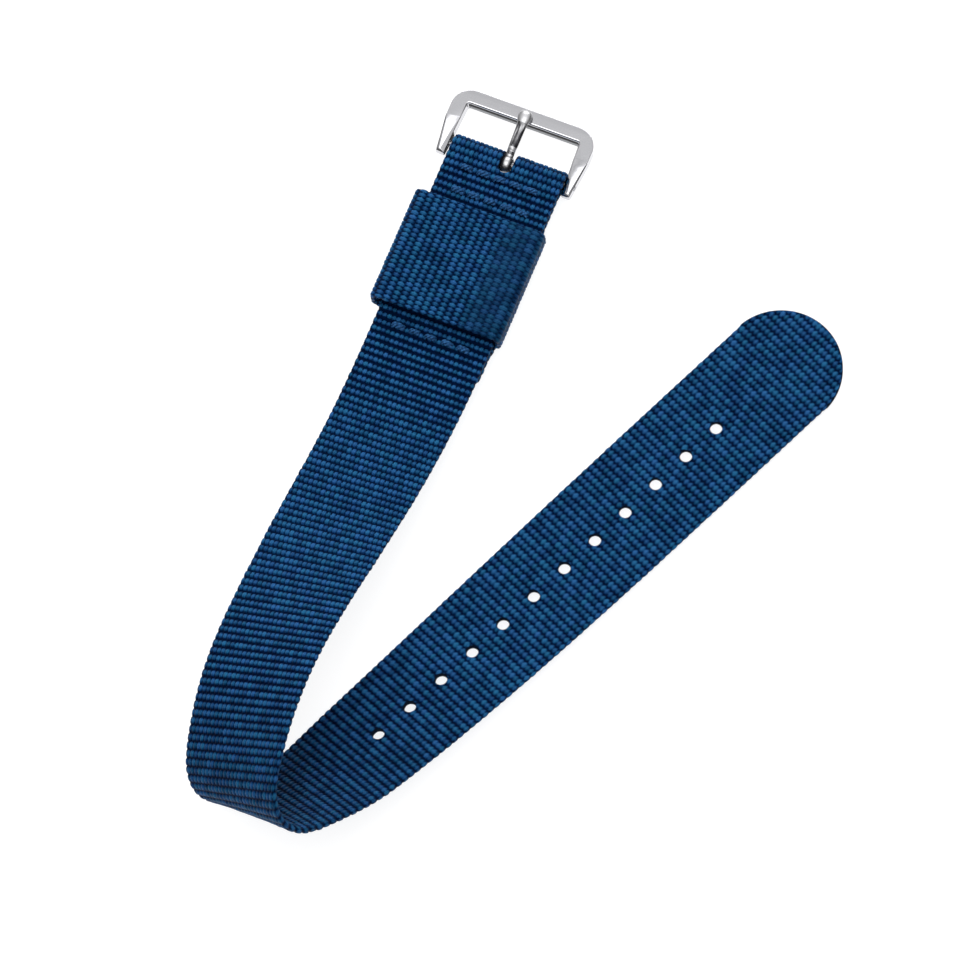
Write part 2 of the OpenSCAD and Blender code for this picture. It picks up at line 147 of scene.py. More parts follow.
def weaveMaterial(name, look, **changes):
    look = {**look, **changes}
    material, tree, shader = newMaterial(
        name, Roughness=look["roughness"], IOR=1.53, Specular_IOR_Level=look["specular"],
        Specular_Tint=hexColour(look["glint"]))
    add = partial(node, tree)
    # The weave map counts yarns across (U) and ribs along (V).
    uv = add("UVMap", uv_map="weave")
    yarns, ribs = add("SeparateXYZ", [uv]).outputs[:2]
    rib = add("Math FLOOR", [ribs])
    along = add("Math SUBTRACT", [add("Math FRACT", [ribs]), 0.5])  # -0.5..0.5 over a rib
    place = add("Math SUBTRACT", [add("Math ADD", [yarns, rib]), 0.5])
    half = add("Math MULTIPLY", [place, 0.5])
    column = add("Math ROUND", [half])
    across = add("Math SUBTRACT", [half, column])
    across = add("Math MULTIPLY", [across, 2.0])  # -1..1 over a knuckle
    slanted = add("Math MULTIPLY_ADD", [along, -look["slant"], across])
    slanted = add("Math WRAP", [slanted, 1.0, -1.0])
    # Pits lie where a yarn dives, so they make a zigzag on both sides of each rib's edge.
    fromRib = add("Math MULTIPLY", [add("Math ABSOLUTE", [along]), 2.0])
    beside = add("Math POWER", [add("Math ABSOLUTE", [slanted]), look["sharp"]])
    fade = add("Math SUBTRACT", [1.0, add("Math POWER", [fromRib, look["pitFade"]])])
    deep = add("Math MULTIPLY_ADD", [fromRib, look["pitDepth"], look["creaseDepth"]])
    pit = add("Math MULTIPLY", [beside, add("Math MULTIPLY", [fade, deep])])
    # Where sewing or a bend draws the ribs apart the gaps between them are painted darker: painted shade in the
    # opened gaps, under the keeper's edge and in the fold.
    drawn = add("Attribute", attribute_name="drawn").outputs["Fac"]
    gap = add("Math MULTIPLY_ADD", [drawn, look["drawnDepth"], look["edgeDepth"]])
    gap = add("Math MULTIPLY", [add("Math POWER", [fromRib, look["edgeSharp"]]), gap])
    dome = add("Math SUBTRACT", [add("Math SUBTRACT", [1.0, gap]), pit])
    noise = add("TexWhiteNoise", [add("CombineXYZ", [column, rib])], noise_dimensions="2D")
    stretched = add("Mapping", {0: uv, 3: look["fuzzStretch"]})
    fuzz = add("TexNoise", {"Vector": stretched, "Scale": look["fuzz"], "Detail": 5.0, "Roughness": 0.8})
    fuzz = add("Math SUBTRACT", [fuzz, 0.5])
    # Where the webbing has been rubbed flat the pits close.
    flat = add("Attribute", attribute_name="rubbed").outputs["Fac"]
    filled = add("Math MULTIPLY", [flat, look["rubbedFill"]])
    missing = add("Math SUBTRACT", [look["rubbedLevel"], dome])
    dome = add("Math MULTIPLY_ADD", [filled, missing, dome])
    # Uneven yarns: the pits don't all have one size.
    uneven = add("Math MULTIPLY_ADD", [drawn, look["drawnUneven"], look["uneven"]])
    rough = add("Math MULTIPLY", [fuzz, uneven])
    fromYarn = add("Math SUBTRACT", [noise, 0.5])
    rough = add("Math MULTIPLY_ADD", [fromYarn, look["yarnUneven"], rough])
    # The ramp paints the pits and rib gaps dark and the knuckle tops light over the dye's navy: painted shade
    # and painted highlight.
    ramp = add("ValToRGB", [add("Math ADD", [dome, rough])],
               stops=[(0.0, look["pit"]), (look["flankAt"], look["flank"]), (1.0, look["knuckle"])])
    # Filaments run along the yarn and slant with it.
    thread = add("Math MULTIPLY", [slanted, math.pi * look["filamentsPerYarn"]])
    thread = add("Math SINE", [thread])
    level = add("Math MULTIPLY_ADD", [noise, look["yarnVariation"], 1 - look["yarnVariation"] / 2])
    fuzzShade = add("Math MULTIPLY_ADD", [flat, -look["rubbedFuzz"], look["fuzzShade"]])
    # Rubbed places are also made darker; over the fold that darkening is painted shade.
    for factor, amount, base in ((fuzz, fuzzShade, 1.0), (thread, look["filamentShade"], look["filamentLevel"]),
                                 (flat, -look["rubbedDark"], 1.0)):
        level = add("Math MULTIPLY", [level, add("Math MULTIPLY_ADD", [factor, amount, base])])
    # Dye lots differ a little from yarn to yarn, towards teal or violet.
    stray = add("SeparateColor", [noise.outputs[1]]).outputs[1]
    tints = add("Mix", {0: stray, 6: hexColour(look["tealer"]), 7: hexColour(look["redder"])}, data_type="RGBA")
    tinted = add("VectorMath MULTIPLY", [ramp, tints.outputs[2]])
    colour = add("VectorMath SCALE", {0: tinted, "Scale": level})
    height = add("Math MULTIPLY_ADD", [thread, look["filamentHeight"], dome])
    bump = add("Bump", {"Height": height, "Distance": look["relief"], "Strength": look["reliefStrength"]})
    connect(tree, shader, Base_Color=colour, Normal=bump)
    return material


webbingNylon = weaveMaterial("nylon_webbing_navy", weaveLook)
# The keeper's pits get a deeper bump and darker painted shade.
keeperNylon = weaveMaterial("nylon_webbing_navy_keeper", weaveLook, pitDepth=1.75, creaseDepth=0.4)

# Nylon melted by a hot punch or knife: a dark, matt and grainy skin along each cut.
sealedNylon, tree, shader = newMaterial("nylon_heat_sealed_edge", Roughness=0.8, IOR=1.53,
                                        Specular_IOR_Level=0.05)
where = node(tree, "TexCoord").outputs["Object"]
grain = node(tree, "TexNoise", {"Vector": where, "Scale": 3500.0, "Detail": 3.0})
ramp = node(tree, "ValToRGB", [grain], stops=[(0.0, "#01060C"), (1.0, "#081C34")])
bump = node(tree, "Bump", {"Height": grain, "Distance": 0.00006, "Strength": 0.5})
connect(tree, shader, Base_Color=ramp, Normal=bump)
print("webbing materials made")


# Webbing: the strap's own line, as it lies
strap = {
    "length": 251.5,  # bar to tip
    "tail": 37.0,  # sewn tail, from the bar
    "thick": 1.2,
    "ribs": 225,
    "step": 0.5,  # of the line
    "bends": [  # bar distance, length, turn down, twist, swing sideways
        (48, 56, -18.3, -9.7, 1.2), (78, 48, 3, -12.8, 0), (104, 48, 31.3, -6.5, 0),
        (124, 24, 124.5, -17.4, 0), (140, 24, 12.3, -7.8, 0), (148, 164, 11.1, -39.2, 0),
    ],
    "loopRadius": 1.41, "barGap": 1.62, "sewnGap": 0.1, "sewnStart": 3.3,
    "keeperAt": 10.4, "keeperLength": 20.2, "keeperLayer": 1.4, "keeperRamp": 1.9,
    "holes": 12, "holeDiameter": 2.0, "holeFirst": 24.7, "holePitch": 6.8,
    "slotWidth": 2.2, "slotBack": 2.2,
    "underKeeperAt": 20, "foldAt": 128,  # where one woven piece meets the next
}


def unit(v):
    return v / np.linalg.norm(v, axis=-1, keepdims=True)


# The band's middle, way along, way left and way down at each step from the bar.
def strapLine(s):
    middle, along = np.array([0, 0, s["loopRadius"]]), np.array([-1.0, 0, 0])
    left, down = np.array([0, 1.0, 0]), np.array([0, 0, -1.0])
    line = [(middle, along, left, down)]
    for i in range(1, int(s["length"] / s["step"]) + 3):
        at = (i - 0.5) * s["step"]
        turn = twist = swing = 0.0
        for centre, length, *angles in s["bends"]:
            if abs(at - centre) < length / 2:
                share = (1 + math.cos(math.tau * (at - centre) / length)) / length * s["step"]
                turn, twist, swing = (v + math.radians(a) * share for v, a in zip((turn, twist, swing), angles))
        newAlong = along * math.cos(turn) + down * math.sin(turn)
        newDown = down * math.cos(turn) - along * math.sin(turn)
        middle = middle + unit(along + newAlong) * s["step"]
        left, down = (left * math.cos(twist) - newDown * math.sin(twist),
                      newDown * math.cos(twist) + left * math.sin(twist))
        along, left = (newAlong * math.cos(swing) + left * math.sin(swing),
                       left * math.cos(swing) - newAlong * math.sin(swing))
        line.append((middle, along, left, down))
    return np.array(line)


line = strapLine(strap)


def onBand(s):
    i = np.minimum((np.asarray(s) / strap["step"]).astype(int), len(line) - 2)
    k = (np.asarray(s) / strap["step"] - i)[..., None, None]
    f = line[i] * (1 - k) + line[i + 1] * k
    return f[..., 0, :], unit(f[..., 1, :]), unit(f[..., 2, :]), unit(f[..., 3, :])


def ease(a, b, k):
    k = np.clip(k, 0, 1)
    return a + (b - a) * k * k * (3 - 2 * k)


# Room between band and tail, which opens round the bar and again for the keeper's lower run.
def layerGap(s):
    tight, ramp, keeperStart = strap["sewnGap"], strap["keeperRamp"], strap["keeperAt"]
    keeperEnd = keeperStart + strap["keeperLength"]
    nearBar = ease(strap["barGap"], tight, s / strap["sewnStart"])
    before = ease(tight, strap["keeperLayer"], (s - keeperStart + ramp) / ramp)
    after = ease(strap["keeperLayer"], tight, (s - keeperEnd) / ramp)
    meet = keeperEnd - 5  # under the keeper, where both ramps are level
    return np.where(s < strap["sewnStart"], nearBar, np.where(s < meet, before, after))


loopLength = math.pi * strap["loopRadius"]
barStart = strap["tail"]  # webbing distance where the loop round the bar starts
bandStart = barStart + loopLength
webLength = bandStart + strap["length"]


# Middle, left and outward direction of the webbing at distances counted from the tail's cut end.
def strapFrames(q):
    tailAt = np.clip(barStart - q, 0, None)
    f, along, left, down = onBand(tailAt)
    slope = (layerGap(tailAt + 0.05) - layerGap(np.maximum(tailAt - 0.05, 0))) / 0.1
    tailMiddle = f + down * (strap["thick"] + layerGap(tailAt))[:, None]
    tailOut = unit(down - along * slope[:, None])
    angle = np.pi * (1 - np.clip((q - barStart) / loopLength, 0, 1))
    loopOut = np.stack([np.sin(angle), 0 * angle, np.cos(angle)], 1)
    bandMiddle, _, bandLeft, bandDown = onBand(np.clip(q - bandStart, 0, strap["length"] + 0.5))
    isTail, isLoop = (q < barStart)[:, None], ((q >= barStart) & (q < bandStart))[:, None]
    middle = np.where(isTail, tailMiddle, np.where(isLoop, loopOut * strap["loopRadius"], bandMiddle))
    left = np.where(isTail, left, np.where(isLoop, [0, 1, 0], bandLeft))
    out = np.where(isTail, tailOut, np.where(isLoop, loopOut, -bandDown))
    return middle + barAxis, left, out


# Plain weave: in every rib each second yarn lies on top as a wide knuckle and the others dive
# between. A web's cross-section is a closed row of yarns, over the face, round the selvedge and
# back under, so what is a knuckle on one face is a pit on the other.
weave = {
    "flatYarns": 47, "edgeYarns": 4,
    "ringsPerRib": 4,
    "thick": 1.2,  # the heights below are over the middle of webbing of this thickness
    "knuckle": 0.60, "valley": 0.27, "pit": 0.20, "crease": 0.48, "edgeValley": 0.46,
    "rubbedHeight": 0.56, "rubbedShare": 0.6,  # rubbing brings all heights this far towards one
    "topWidth": 0.56, "sunkWidth": 0.10, "crossWidth": 0.27,  # half widths of a yarn on top, below and between
    "slant": 0.15,  # the yarns' twist leans each knuckle
    "jitter": 0.02, "sway": 0.08,  # unevenness in height and place
    "rimHeight": 0.53, "rimInset": 0.08, "rimRagged": 0.5, "rimTaper": 0.3, "wallHeight": 0.44,
    "cutSlack": 0.02,
}
yarnCount = 2 * (weave["flatYarns"] + weave["edgeYarns"])
columns = 2 * yarnCount


# Rows of section points, one for each ring: across the web and up from its middle.
def weaveSection(web, ribsAt, seed):
    yarn = np.repeat(np.arange(yarnCount), 2)
    side = np.tile([-1, 1], yarnCount)
    rib = np.floor(ribsAt + 1e-6).astype(int)
    t = ribsAt - rib - 0.5
    dice = np.random.default_rng(seed).normal(0, 1, (rib.max() + 2, yarnCount))[rib][:, yarn]
    lift = np.sqrt(1 - (2 * t[:, None]) ** 2)  # round over the rib
    middle = np.cos(np.pi * t)[:, None].clip(0, 1)
    sign = np.where((rib[:, None] + yarn) % 2 == 0, 1, -1)
    halfWide = np.where(sign > 0, weave["topWidth"], weave["sunkWidth"])
    u = yarn + 0.5 + side * (weave["crossWidth"] * (1 - lift) + halfWide * lift)
    u = u + weave["slant"] * t[:, None] * sign + dice * weave["sway"] * lift
    nominal = yarn + 0.5 + side * 0.25
    scale = web["thick"] / weave["thick"]
    at = (ribsAt * web["ribPitch"])[:, None]
    up = weave["valley"] + (weave["knuckle"] - weave["valley"]) * lift
    # A sunk yarn is deepest at the rib's edges: over its middle the knuckles beside it nearly touch.
    ends = np.sin(np.pi * 2 * np.abs(t))[:, None].clip(0, 1)
    dive = weave["valley"] * (1 - middle) + weave["crease"] * middle
    dive = dive * (1 - ends) + weave["pit"] * ends
    height = np.where(sign > 0, up, dive)
    standing = height - weave["rubbedHeight"]
    height = weave["rubbedHeight"] + standing * (1 - weave["rubbedShare"] * web["rubbed"](at))
    flat, edge = weave["flatYarns"], weave["edgeYarns"]
    onFace, onEdge, under = yarn < flat, yarn < flat + edge, yarn < 2 * flat + edge
    turn = np.select([onFace, onEdge, under], [0, (nominal - flat) / edge, 1],
                     1 + (nominal - 2 * flat - edge) / edge)
    rounding = np.abs(np.sin(np.pi * turn))
    edgeUp = weave["edgeValley"] + (weave["knuckle"] - weave["edgeValley"]) * lift
    height = (height * (1 - rounding) + edgeUp * rounding + dice * weave["jitter"] * lift) * scale

    def place(at, h):
        w = web["width"] / 2 - web["selvedge"]
        pitch = 2 * w / flat
        arc = np.pi * ((at - flat) / edge)
        arcBack = np.pi * ((at - 2 * flat - edge) / edge)
        squeeze = web["selvedge"] / (web["thick"] / 2)
        regions = [at <= flat, at <= flat + edge, at <= 2 * flat + edge]
        v = np.select(regions, [at * pitch - w, w + np.sin(arc) * h * squeeze, w - (at - flat - edge) * pitch],
                      -w - np.sin(arcBack) * h * squeeze)
        z = np.select(regions, [h, np.cos(arc) * h, -h], -np.cos(arcBack) * h)
        return v, z

    v, z = place(u, height)
    nominalV, nominalZ = place(np.broadcast_to(nominal, u.shape), np.full(u.shape, web["thick"] / 2))
    return u, v, z, nominalV, nominalZ


# Distance to the nearest cut line, negative where the webbing is cut away, and where that line is.
def cutDistance(cuts, q, v):
    best = np.full(q.shape, 99.0)
    lineQ, lineV, outQ, outV = q.copy(), v.copy(), np.zeros(q.shape), np.zeros(q.shape)
    for first, last, radius, inside in cuts:
        centre = np.clip(q, first, last)
        dq, dv = q - centre, v
        far = np.hypot(dq, dv) + 1e-9
        distance = radius - far if inside else far - radius
        distance = np.where(inside & (q < last), 99.0, distance)
        nearer = distance < best
        best = np.where(nearer, distance, best)
        lineQ = np.where(nearer, centre + dq / far * radius, lineQ)
        lineV = np.where(nearer, dv / far * radius, lineV)
        sense = -1.0 if inside else 1.0
        outQ = np.where(nearer, sense * dq / far, outQ)
        outV = np.where(nearer, sense * dv / far, outV)
    return best, lineQ, lineV, outQ, outV


# Where a woven piece's faces and its walls lie in the map that its colours are baked to.
bakeLayout = {
    "margin": 0.005, "weaveWide": 0.93, "weaveHigh": 0.99,
    "wallsFrom": 0.945, "wallStrips": 6, "stripPitch": 0.009, "wallWide": 0.006, "wallHigh": 0.7,
}


# A length of webbing between two rings, with walls where it is cut and flat ends where it isn't closed.
def webbingPiece(name, web, frames, ringRange, closed=False, cuts=(), seed=1, cloth=webbingNylon):
    perRib = weave["ringsPerRib"]
    rings = np.arange(ringRange[0], ringRange[1] + (0 if closed else 1))
    count = len(rings)
    ribsAt = rings / perRib
    q = np.repeat((ribsAt * web["ribPitch"])[:, None], columns, 1)
    u, v, z, nominalV, nominalZ = weaveSection(web, ribsAt, seed)
    nextRing = np.roll(np.arange(count), -1) if closed else np.arange(1, count)
    lower = np.arange(count) if closed else np.arange(count - 1)
    c = np.arange(columns)
    nextC = (c + 1) % columns
    low, high = lower[:, None] * columns, nextRing[:, None] * columns
    corners = np.stack([low + c, low + nextC, high + nextC, high + c], -1).reshape(-1, 4)
    lap = np.where(c + 1 == columns, yarnCount, 0)
    lowU, highU = u[lower], u[nextRing]
    faceU = np.stack([lowU, lowU[:, nextC] + lap, highU[:, nextC] + lap, highU], -1).reshape(-1, 4)
    ribLow = np.repeat(ribsAt[lower][:, None], columns, 1)
    ribHigh = ribLow + 1 / perRib
    faceV = np.stack([ribLow, ribLow, ribHigh, ribHigh], -1).reshape(-1, 4)
    extraPoints, walls = [], []
    total = count * columns
    mirror = (2 * (2 * weave["flatYarns"] + weave["edgeYarns"]) - 1 - c) % columns
    if len(cuts):
        away, lineQ, lineV, outQ, outV = cutDistance(cuts, q, nominalV)
        gone = (away < -weave["cutSlack"]).ravel()
        faceKept = ~gone[corners].any(1)
        rim, kept = np.zeros(total, bool), np.zeros(total, bool)
        rim[corners[~faceKept].ravel()] = True
        kept[corners[faceKept].ravel()] = True
        rim = (rim & kept).reshape(count, columns)
        ragged = np.abs(np.random.default_rng(seed + 50).normal(0, weave["rimRagged"], q.shape))
        inset = weave["rimInset"] * (1 + np.cos(2 * np.pi * ribsAt[:, None]) + ragged)
        q = np.where(rim, lineQ + outQ * inset, q)
        v = np.where(rim, lineV + outV * inset, v)
        taper = np.minimum(1, np.abs(nominalZ) / weave["rimTaper"])
        z = np.where(rim, np.sign(nominalZ) * weave["rimHeight"] * taper, z)
        corners, faceU, faceV = corners[faceKept], faceU[faceKept], faceV[faceKept]
        # Edges that only one kept face uses, along the cut lines.
        edges = np.concatenate([corners[:, [k, (k + 1) % 4]] for k in range(4)])
        key = np.sort(edges, 1) @ [total, 1]
        _, firstAt, uses = np.unique(key, return_index=True, return_counts=True)
        border = edges[firstAt[uses == 1]]
        border = border[rim.ravel()[border].all(1)]
        level = nominalZ.ravel()[border]
        crossing = border[level[:, 0] * level[:, 1] < 0]  # where a cut runs out over a selvedge
        border = border[(level[:, 0] * level[:, 1] > 0) & (level.sum(1) > 0)]
        wallOf = {}

        def wallPoint(i, level):
            if (i, level) not in wallOf:
                r, col = divmod(int(i), columns)
                wallOf[(i, level)] = total + len(extraPoints)
                extraPoints.append((lineQ[r, col], lineV[r, col], level * weave["wallHeight"]))
            return wallOf[(i, level)]

        for a, b in border:
            a2, b2 = (int(x) // columns * columns + int(mirror[int(x) % columns]) for x in (a, b))
            strip = [(b, a), (wallPoint(b, 1), wallPoint(a, 1)), (wallPoint(b, -1), wallPoint(a, -1)), (b2, a2)]
            walls += [(p0, p2, p3, p1) for (p0, p1), (p2, p3) in zip(strip[:-1], strip[1:])]
        for a, b in crossing:
            if nominalZ.ravel()[a] < 0:
                a, b = b, a
            walls.append((a, wallPoint(a, 1), wallPoint(a, -1), b))
    if not closed:
        half = np.arange(-weave["edgeYarns"], 2 * weave["flatYarns"] + weave["edgeYarns"] - 1)
        for ring, flip in ((0, False), (count - 1, True)):
            if len(cuts) and gone.reshape(count, columns)[ring].any():
                continue
            for k in half:
                a, b = k % columns, (k + 1) % columns
                quad = list(dict.fromkeys(ring * columns + x for x in (a, mirror[a], mirror[b], b)))
                walls.append(tuple(quad if flip else quad[::-1]))
    qFlat, vFlat, zFlat = q.ravel(), v.ravel(), z.ravel()
    if extraPoints:
        extra = np.array(extraPoints).T
        qFlat, vFlat, zFlat = (np.concatenate(pair) for pair in zip((qFlat, vFlat, zFlat), extra))
    middle, left, out = frames(qFlat)
    points = (middle + left * vFlat[:, None] + out * zFlat[:, None]) * mm
    mesh = bpy.data.meshes.new(name)
    mesh.from_pydata(points.tolist(), [], corners.tolist() + [tuple(map(int, w)) for w in walls])
    mesh.update()
    for wear in ("rubbed", "drawn"):
        worn = mesh.attributes.new(wear, "FLOAT", "POINT")
        worn.data.foreach_set("value", web[wear](qFlat).astype(np.float32))
    weaveMap = mesh.uv_layers.new(name="weave")
    bakeMap = mesh.uv_layers.new(name="OFBake")
    uvs = np.stack([faceU.ravel(), faceV.ravel()], 1)
    first, last = ribsAt[0], ribsAt[-1] + (1 / perRib if closed else 0)
    bake = bakeLayout
    fitted = np.stack([bake["margin"] + uvs[:, 0] / (yarnCount + 1) * bake["weaveWide"],
                       bake["margin"] + (uvs[:, 1] - first) / (last - first) * bake["weaveHigh"]], 1)
    if walls:
        cells = []
        perStrip = max(1, math.ceil(len(walls) / bake["wallStrips"]))
        for i, w in enumerate(walls):
            x0, y0 = bake["wallsFrom"] + bake["stripPitch"] * (i // perStrip), (i % perStrip) / perStrip
            x1, y1 = x0 + bake["wallWide"], y0 + bake["wallHigh"] / perStrip
            cells += [(x0, y0), (x1, y0), (x1, y1), (x0, y1)][:len(w)]
        uvs, fitted = np.concatenate([uvs, cells]), np.concatenate([fitted, cells])
    weaveMap.uv.foreach_set("vector", uvs.astype(np.float32).ravel())
    bakeMap.uv.foreach_set("vector", fitted.astype(np.float32).ravel())
    mesh.materials.append(cloth)
    mesh.materials.append(sealedNylon)
    mesh.polygons.foreach_set("material_index", np.array([0] * len(corners) + [1] * len(walls), np.int32))
    mesh.polygons.foreach_set("use_smooth", np.ones(len(mesh.polygons), bool))
    piece = addObject(name, mesh)
    makeActive(piece)
    editMode(True)
    bpy.ops.mesh.select_all(action="SELECT")
    bpy.ops.mesh.delete_loose()
    pointOutwards()
    editMode(False)
    return piece


strapWeb = {"width": 20.0, "thick": strap["thick"], "selvedge": 0.5, "ribPitch": webLength / strap["ribs"]}
# Ribs are drawn apart by the seams, and again where the strap bends by the fold, and there and under the
# keeper's edge their gaps get deeper painted shade: bar distance, how far.
gapShadeAt = [
    (-8, 1), (-5.5, 0.15), (2.2, 0.15), (4.5, 1), (28, 1.3), (37, 1.4), (43, 0.9), (50, 0.3), (80, 0.3),
    (104, 0.9), (116, 0.5), (122, 0.4), (128, 0.8), (150, 0.7), (172, 0.1), (260, 0),
]
strapWeb["drawn"] = lambda q: np.interp(np.asarray(q) - bandStart, *zip(*gapShadeAt))
# The outside of the fold is worn flatter, and painted darker there: painted shade for the fold turned from the
# light.
foldWearAndShadeAt = [(98, 0), (112, 0.35), (123, 0.5), (132, 0.4), (152, 0.35), (172, 0)]
strapWeb["rubbed"] = lambda q: np.interp(np.asarray(q) - bandStart, *zip(*foldWearAndShadeAt))
tipRadius = strapWeb["width"] / 2
tipCentre = webLength - tipRadius
strapCuts = [
    (webLength - strap["holeFirst"] - i * strap["holePitch"],) * 2 + (strap["holeDiameter"] / 2, False)
    for i in range(strap["holes"])
]
slotRadius = strap["slotWidth"] / 2
slotEnd = strap["slotBack"] - slotRadius
slotCut = (barStart - slotEnd, bandStart + slotEnd, slotRadius, False)
tipCut = (tipCentre, tipCentre, tipRadius, True)
underKeeper, atFold = (weave["ringsPerRib"] * round((bandStart + strap[place]) / strapWeb["ribPitch"])
                       for place in ("underKeeperAt", "foldAt"))
lastRing = weave["ringsPerRib"] * strap["ribs"] + 1
webbing = [
    webbingPiece("webbing_sewn_end", strapWeb, strapFrames, (0, underKeeper), cuts=[slotCut]),
    webbingPiece("webbing_rising_run", strapWeb, strapFrames, (underKeeper, atFold)),
    webbingPiece("webbing_punched_end", strapWeb, strapFrames, (atFold, lastRing), cuts=strapCuts + [tipCut]),
]
for piece in webbing:
    finishPiece(piece, "strap", "strap_band")
    print(piece.name, len(piece.data.polygons), "faces")


# Keeper: a loop of the same webbing, its ribs along the strap
keeper = {
    "thick": 1.1, "selvedge": 0.45, "ribs": 38, "ribPitch": 1.31,
    "side": 0.4, "slip": 0.35, "room": 1.5, "gap": 0.15, "foldRadius": 0.5,
    # Rubbing on the top, from its middle to the right, which flattens it and makes it darker, and how softly it
    # starts and stops.
    "rubbing": 0.8, "rubbedFrom": 3.2, "rubbedTo": 11.5, "easeIn": 3, "easeOut": 2,
}
keeperTurn = keeper["ribs"] * keeper["ribPitch"]


# Counted from the middle of the top, over the left side, under the band and back.
def keeperFrames(q):
    halfWide = strapWeb["width"] / 2 + keeper["side"] + keeper["thick"] / 2
    height = strap["thick"] + keeper["gap"] + keeper["room"] + keeper["thick"]
    r = keeper["foldRadius"] + keeper["thick"] / 2
    runs = [2 * (halfWide - r), math.pi / 2 * r, height - 2 * r, math.pi / 2 * r] * 2
    ends = np.concatenate([[0], np.cumsum(runs)])
    distance = np.asarray(q) / keeperTurn * ends[-1]
    distance = (distance + runs[0] / 2) % ends[-1]
    y, z, ny, nz = (np.zeros(len(distance)) for _ in range(4))
    base = strap["loopRadius"] - strap["thick"] / 2 - keeper["gap"] - keeper["thick"] / 2
    corners = [(halfWide - r, height - r), (halfWide - r, r), (r - halfWide, r), (r - halfWide, height - r)]
    turn = 0.0
    for i in range(8):
        here = (distance >= ends[i]) & (distance <= ends[i + 1])
        d = distance[here] - ends[i]
        if i % 2 == 0:
            n = (math.sin(turn), math.cos(turn))
            start = corners[(i // 2 - 1) % 4]
            t = (n[1], -n[0])
            y[here] = start[0] + n[0] * r + t[0] * d
            z[here] = start[1] + n[1] * r + t[1] * d
            ny[here], nz[here] = n
        else:
            a = turn + d / r
            y[here] = corners[i // 2][0] + np.sin(a) * r
            z[here] = corners[i // 2][1] + np.cos(a) * r
            ny[here], nz[here] = np.sin(a), np.cos(a)
            turn += math.pi / 2
    fromBar = np.full(len(y), -strap["keeperAt"] - strap["keeperLength"] / 2)
    middle = np.stack([fromBar, y + keeper["slip"], z + base], 1)
    return middle + barAxis, np.broadcast_to([1.0, 0, 0], middle.shape), np.stack([0 * y, ny, nz], 1)


def keeperRubbed(q):
    right = np.mod(-q, keeperTurn)
    return keeper["rubbing"] * (ease(0, 1, (right - keeper["rubbedFrom"]) / keeper["easeIn"])
                                * ease(1, 0, (right - keeper["rubbedTo"]) / keeper["easeOut"]))


keeperWeb = {
    "width": strap["keeperLength"], "thick": keeper["thick"], "selvedge": keeper["selvedge"],
    "ribPitch": keeper["ribPitch"], "drawn": lambda q: 0.0 * np.asarray(q), "rubbed": keeperRubbed,
}
keeperRings = (0, weave["ringsPerRib"] * keeper["ribs"])
keeperPiece = webbingPiece("keeper_webbing", keeperWeb, keeperFrames, keeperRings,
                           closed=True, seed=2, cloth=keeperNylon)
finishPiece(keeperPiece, "strap", "keeper_loop")
print("keeper", len(keeperPiece.data.polygons), "faces")


# Everything below is shaped about the middle of the spring bar, X towards the crossbar and Y to
# the left, and moved to its place at the end.
def startPiece(kind, name, place, spans, turn=(0, 0, 0), **settings):
    bpy.ops.object.select_all(action="DESELECT")
    add = getattr(bpy.ops.mesh, "primitive_" + kind + "_add")
    add(location=[v * mm for v in place], rotation=turn, **settings)
    piece = bpy.context.object
    piece.name = piece.data.name = name
    piece.scale = [v * mm for v in spans]
    bpy.ops.object.transform_apply(location=True, rotation=True, scale=True)
    return piece


# A round rod along Y
def startRod(name, aside, wide, long, sides):
    return startPiece("cylinder", name, (0, aside, 0), (wide, wide, long), turn=(math.pi / 2, 0, 0),
                      vertices=sides, radius=0.5, depth=1)


# A filled ring, left selected for its first extrusion
def startRing(name, place, high, wide, sides, turn=(0, 0, 0)):
    piece = startPiece("circle", name, place, (high, wide, 1), turn=turn, vertices=sides, radius=0.5,
                       fill_type="NGON")
    editMode(True)
    bpy.ops.mesh.select_all(action="SELECT")
    return piece


# Selects the faces, edges or verts whose middle (mm) and direction pass a test: a face's normal or
# the way an edge runs.
def pick(piece, kind, test):
    bpy.ops.mesh.select_mode(type={"faces": "FACE", "edges": "EDGE", "verts": "VERT"}[kind])
    bpy.ops.mesh.select_all(action="DESELECT")
    cage = bmesh.from_edit_mesh(piece.data)
    for part in getattr(cage, kind):
        if kind == "faces":
            middle, way = part.calc_center_median(), part.normal
        elif kind == "edges":
            first, last = (v.co for v in part.verts)
            middle, way = (first + last) / 2, (last - first).normalized()
        else:
            middle, way = part.co, part.normal
        if test(middle / mm, way):
            part.select_set(True)
    bmesh.update_edit_mesh(piece.data)


def roundEdges(piece, test, radius, segments):
    pick(piece, "edges", test)
    bpy.ops.mesh.bevel(offset=radius * mm, segments=segments, affect="EDGES")


# Splits the picked faces along a plane.
def splitAt(piece, region, through, way):
    pick(piece, "faces", region)
    bpy.ops.mesh.bisect(plane_co=[v * mm for v in through], plane_no=way)


def addModifier(piece, kind, **settings):
    modifier = piece.modifiers.new(kind.lower(), kind)
    for name, value in settings.items():
        setattr(modifier, name, value)
    makeActive(piece)
    bpy.ops.object.modifier_apply(modifier=modifier.name)


def combine(piece, other, operation):
    addModifier(piece, "BOOLEAN", operation=operation, object=other, solver="EXACT")
    bpy.data.objects.remove(other)


